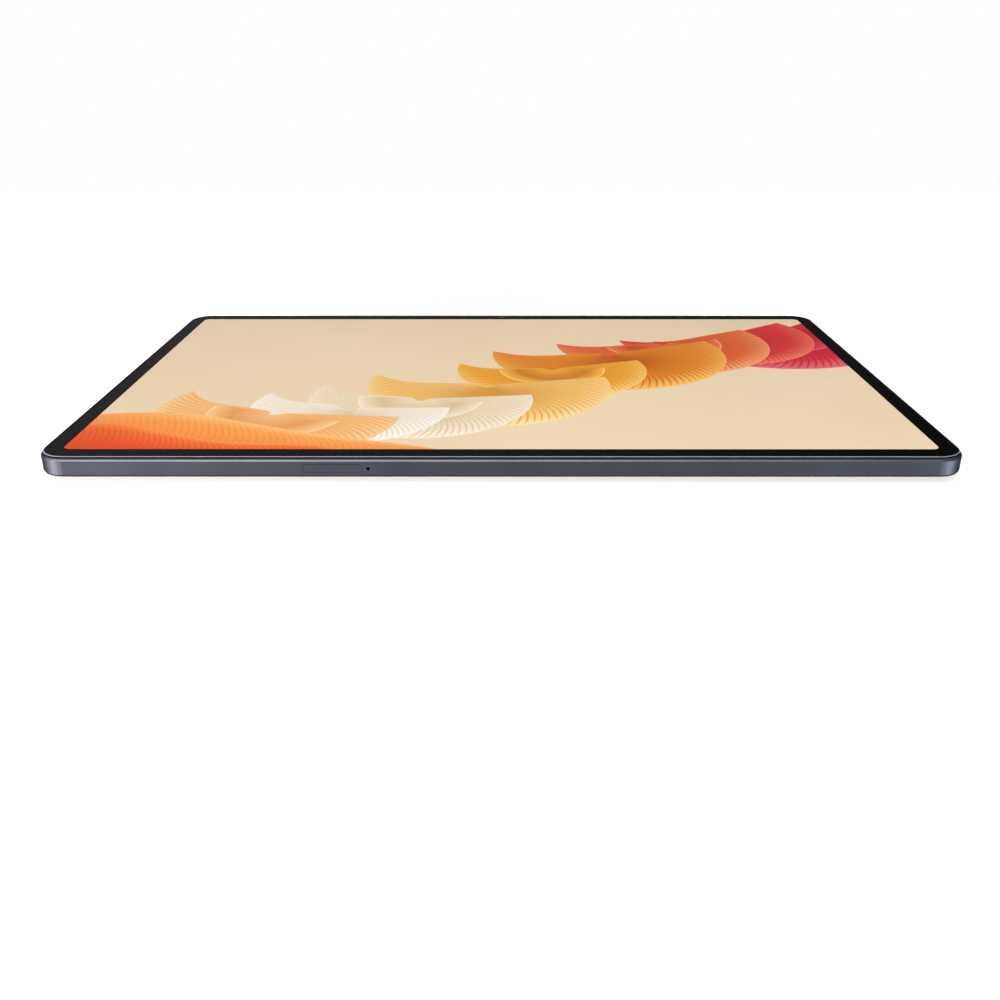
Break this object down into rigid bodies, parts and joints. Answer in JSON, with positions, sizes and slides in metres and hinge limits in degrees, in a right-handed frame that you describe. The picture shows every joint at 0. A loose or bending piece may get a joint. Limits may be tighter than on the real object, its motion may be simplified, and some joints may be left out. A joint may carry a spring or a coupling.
{
  "type": "tablet computer",
  "caption": "Slim metal-backed tablet computer with a bonded landscape display, a round rear camera island, side keys, a card tray and a charging port.",
  "frame": {"origin": "centre of the flat back, at the middle of the body's length and width", "axes": "+Z out of the screen, +X along the long side to the reader's right in landscape, +Y towards the top long edge, where the camera island and the volume rocker are"},
  "size_m": [0.2613, 0.1645, 0.0076],
  "materials": {
    "housing_metal": "bead-blasted and anodised, slate blue-grey",
    "strip_metal": "brushed along the long edge, slate blue-grey",
    "key_metal": "anodised to match the housing",
    "rim_plastic": "moulded, fine matte",
    "cover_glass": "polished, clear with a printed black border",
    "screen": "lit picture under the glass",
    "diffuser": "clear acrylic sheet",
    "adhesive": "foam tape",
    "sheet_steel": "pressed sheet",
    "battery_foil": "laminated pouch foil",
    "circuit_board": "green solder mask",
    "flex_cable": "amber polyimide film",
    "graphite": "graphite film",
    "camera_metal": "black anodised, turned with a fine radial sheen",
    "camera_plastic": "moulded black",
    "lens_glass": "coated, dark",
    "flash_resin": "pale yellow diode lens",
    "black_plastic": "moulded black",
    "seal_rubber": "moulded silicone",
    "mesh": "fine black woven mesh",
    "microphone_metal": "plated can",
    "steel": "turned"
  },
  "bodies": {
    "body": {"rear_housing": "housing_metal", "antenna_strip": "strip_metal", "mid_frame": "rim_plastic", "display_rim": "rim_plastic", "display_adhesive": "adhesive", "cover_glass": "cover_glass", "lcd_panel": "screen", "light_guide": "diffuser", "backlight_tray": "sheet_steel", "display_flex": "flex_cable", "display_board": "circuit_board", "display_link": "flex_cable", "front_camera": "camera_plastic", "light_sensor": "camera_plastic", "battery_cell_left": "battery_foil", "battery_cell_right": "battery_foil", "battery_tape": "adhesive", "battery_board": "circuit_board", "battery_flex": "flex_cable", "main_board": "circuit_board", "processor_shield": "sheet_steel", "radio_shield": "sheet_steel", "graphite_sheet": "graphite", "camera_base_ring": "camera_metal", "camera_disc": "camera_metal", "camera_carrier": "camera_plastic", "camera_trim_ring": "camera_metal", "flash_trim_ring": "camera_metal", "camera_window": "lens_glass", "flash_window": "lens_glass", "rear_camera": "camera_plastic", "flash_led": "flash_resin", "camera_bracket": "sheet_steel", "volume_switch_board": "flex_cable", "power_switch_board": "flex_cable", "key_domes": "sheet_steel", "sim_reader": "sheet_steel", "sim_board": "circuit_board", "sim_flex": "flex_cable", "usb_shell": "sheet_steel", "usb_tongue": "black_plastic", "port_board": "circuit_board", "port_flex": "flex_cable", "speaker_left_top": "black_plastic", "speaker_left_bottom": "black_plastic", "speaker_right_top": "black_plastic", "speaker_right_bottom": "black_plastic", "speaker_meshes": "mesh", "microphones": "microphone_metal", "wifi_antenna": "flex_cable", "cell_antenna": "flex_cable", "coax_cable": "black_plastic", "screws": "steel"},
    "volume_rocker": {"volume_rocker": "key_metal"},
    "power_button": {"power_button": "key_metal"},
    "sim_tray": {"sim_tray": "key_metal", "sim_tray_seal": "seal_rubber"},
    "lens_barrel": {"rear_lens_barrel": "camera_plastic"},
    "eject_rod": {"eject_rod": "steel"},
    "eject_lever": {"eject_lever": "sheet_steel"}
  },
  "joints": [
    {"name": "volume_rocker_tilt", "type": "hinge", "parent": "body", "child": "volume_rocker", "pos_m": [-0.10465, 0.0803, 0.00265], "axis": [0, 0, 1], "range_deg": [-1.2, 1.2], "stiffness_Nm_per_rad": 0.5},
    {"name": "power_button_press", "type": "slide", "parent": "body", "child": "power_button", "axis": [1, 0, 0], "range_m": [0, 0.0003], "stiffness_N_per_m": 1000},
    {"name": "sim_tray_slide", "type": "slide", "parent": "body", "child": "sim_tray", "axis": [0, -1, 0], "range_m": [0, 0.024]},
    {"name": "lens_focus", "type": "slide", "parent": "body", "child": "lens_barrel", "axis": [0, 0, -1], "range_m": [0, 0.00025], "stiffness_N_per_m": 100},
    {"name": "eject_rod_push", "type": "slide", "parent": "body", "child": "eject_rod", "axis": [0, 1, 0], "range_m": [0, 0.0008]},
    {"name": "eject_lever_turn", "type": "hinge", "parent": "body", "child": "eject_lever", "pos_m": [-0.042, -0.0562, 0.0027], "axis": [0, 0, 1], "range_deg": [0, 9.2]}
  ],
  "couplings": [
    {"joint": "eject_lever_turn", "follows": "eject_rod_push", "rad_per_m": 200}
  ]
}
